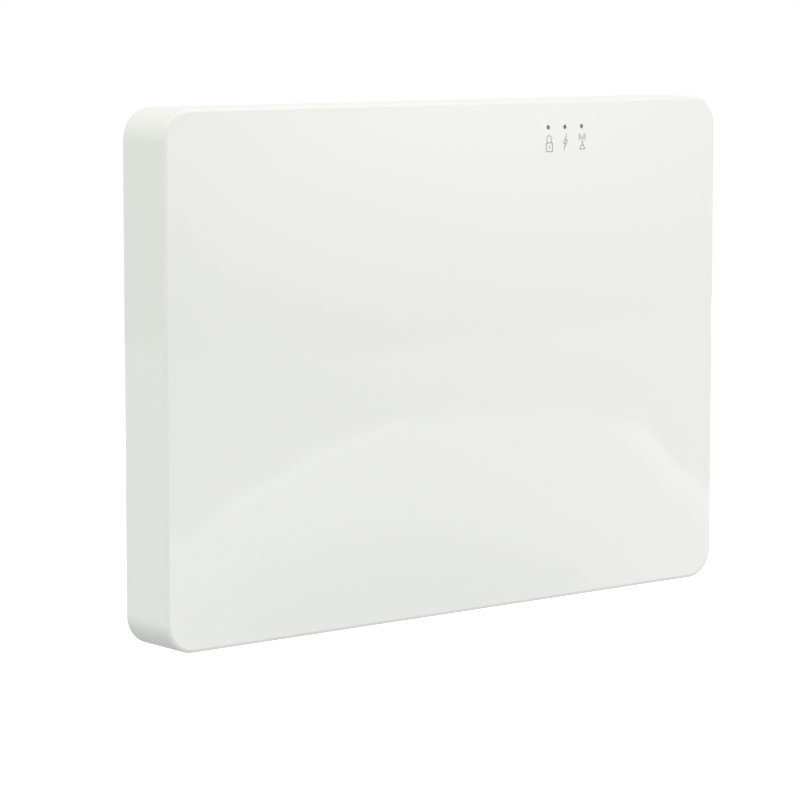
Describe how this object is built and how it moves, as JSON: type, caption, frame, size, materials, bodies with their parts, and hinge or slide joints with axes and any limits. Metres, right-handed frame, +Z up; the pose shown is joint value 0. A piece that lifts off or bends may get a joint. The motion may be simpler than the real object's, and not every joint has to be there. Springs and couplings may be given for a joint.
{
  "type": "wireless alarm control panel",
  "caption": "Thin wall-hung box with a domed white front cover that swings up on hooks over circuit boards, a battery pack and a sounder.",
  "frame": {"origin": "centre of the panel's outline on the back face of the base, which lies on the wall", "axes": "+Y into the wall, the front faces -Y; +Z up; +X to the right for a person facing the panel"},
  "size_m": [0.28, 0.0318, 0.202],
  "materials": {
    "cover_plastic": "glossy white, lightly mottled",
    "base_plastic": "satin white",
    "clear_plastic": "clear, slightly smoky",
    "black_plastic": "fine matt",
    "zinc_screws": "zinc plated",
    "zinc_nuts": "zinc plated",
    "main_laminate": "green solder mask over laminate",
    "power_laminate": "green solder mask over laminate",
    "cell_steel": "nickel plated",
    "battery_film": "blue shrink film",
    "strap_plastic": "satin white",
    "clamp_plastic": "satin light grey",
    "red_wire": "smooth insulation",
    "black_wire": "smooth insulation",
    "sounder_plastic": "fine matt",
    "switch_plastic": "fine matt",
    "plunger_plastic": "smooth natural nylon",
    "button_plastic": "smooth",
    "switch_steel": "tinned",
    "card_plastic": "smooth card with gilt contacts hidden below",
    "card_holder_plastic": "fine matt",
    "lid_steel": "plain",
    "socket_steel": "tinned",
    "gilt_contacts": "gilt",
    "green_terminal": "satin",
    "grey_terminal": "satin",
    "terminal_steel": "zinc plated",
    "fuse_holder_plastic": "satin",
    "fuse_ceramic": "tube with plated caps",
    "ferrite": "matt dark grey",
    "winding_tape": "yellow tape",
    "choke_plastic": "fine matt",
    "film_capacitor_plastic": "yellow case",
    "varistor_coating": "blue dipped coating",
    "capacitor_sleeve": "dark sleeve with a bare top",
    "lamp_resin": "lamp resin on a white body",
    "processor_epoxy": "fine matt",
    "chip_epoxy": "fine matt",
    "resistor_ceramic": "dark film on ceramic",
    "module_laminate": "blue solder mask over laminate",
    "shield_tin": "tinned",
    "module_shield": "tinned",
    "antenna_metal": "tinned spring metal",
    "header_nylon": "natural nylon"
  },
  "bodies": {
    "base": {"back_box": "base_plastic", "battery_cells": "cell_steel", "battery_lead_black": "black_wire", "battery_lead_red": "red_wire", "battery_sleeve": "battery_film", "battery_strap": "strap_plastic", "battery_switch": "switch_steel", "board_screws": "zinc_screws", "cable_clamp": "clamp_plastic", "chip_resistors": "resistor_ceramic", "clamp_screws": "zinc_screws", "dc_lead_black": "black_wire", "dc_lead_red": "red_wire", "ethernet_jack": "socket_steel", "filter_capacitor": "film_capacitor_plastic", "fuse": "fuse_ceramic", "fuse_holder": "fuse_holder_plastic", "indicator_lamps": "lamp_resin", "jack_contacts": "gilt_contacts", "lead_headers": "header_nylon", "main_board": "main_laminate", "mains_choke": "choke_plastic", "mains_terminal": "green_terminal", "mains_terminal_screws": "terminal_steel", "mobile_antenna": "antenna_metal", "mobile_module": "module_shield", "power_board": "power_laminate", "processor": "processor_epoxy", "radio_antenna": "antenna_metal", "radio_module": "module_laminate", "radio_shield": "shield_tin", "reset_switch": "switch_steel", "sim_card": "card_plastic", "sim_holder": "card_holder_plastic", "smoothing_capacitors": "capacitor_sleeve", "sounder": "sounder_plastic", "sounder_lead_black": "black_wire", "sounder_lead_red": "red_wire", "strap_screws": "zinc_screws", "support_chips": "chip_epoxy", "surge_disc": "varistor_coating", "tamper_switch": "switch_plastic", "transformer_core": "ferrite", "transformer_winding": "winding_tape", "wall_tamper_switch": "switch_plastic", "zone_terminal_screws": "terminal_steel", "zone_terminals": "grey_terminal"},
    "cover": {"front_cover": "cover_plastic", "light_guide": "clear_plastic", "light_guide_holder": "black_plastic", "cover_nuts": "zinc_nuts"},
    "screw_left": {"cover_screw_left": "zinc_screws"},
    "screw_right": {"cover_screw_right": "zinc_screws"},
    "tamper_pin": {"tamper_plunger": "plunger_plastic"},
    "wall_pin": {"wall_tamper_plunger": "plunger_plastic"},
    "reset_key": {"reset_button": "button_plastic"},
    "slider": {"battery_slider": "button_plastic"},
    "card_lid": {"sim_lid": "lid_steel"}
  },
  "joints": [
    {"name": "cover_hinge", "type": "hinge", "parent": "base", "child": "cover", "pos_m": [0, -0.006, 0.0971], "axis": [-1, 0, 0], "range_deg": [0, 85]},
    {"name": "cover_screw_left_turn", "type": "hinge", "parent": "cover", "child": "screw_left", "pos_m": [-0.118, -0.012, -0.097], "axis": [0, 0, 1], "range_deg": [0, 720]},
    {"name": "cover_screw_right_turn", "type": "hinge", "parent": "cover", "child": "screw_right", "pos_m": [0.118, -0.012, -0.097], "axis": [0, 0, 1], "range_deg": [0, 720]},
    {"name": "tamper_press", "type": "slide", "parent": "base", "child": "tamper_pin", "axis": [0, 1, 0], "range_m": [0, 0.0015], "stiffness_N_per_m": 200},
    {"name": "wall_tamper_release", "type": "slide", "parent": "base", "child": "wall_pin", "axis": [0, 1, 0], "range_m": [0, 0.0025]},
    {"name": "reset_press", "type": "slide", "parent": "base", "child": "reset_key", "axis": [0, 1, 0], "range_m": [0, 0.0004], "stiffness_N_per_m": 500},
    {"name": "battery_switch_slide", "type": "slide", "parent": "base", "child": "slider", "axis": [1, 0, 0], "range_m": [0, 0.002]},
    {"name": "card_lid_hinge", "type": "hinge", "parent": "base", "child": "card_lid", "pos_m": [0.06, -0.0122, 0.01445], "axis": [-1, 0, 0], "range_deg": [0, 70]}
  ]
}
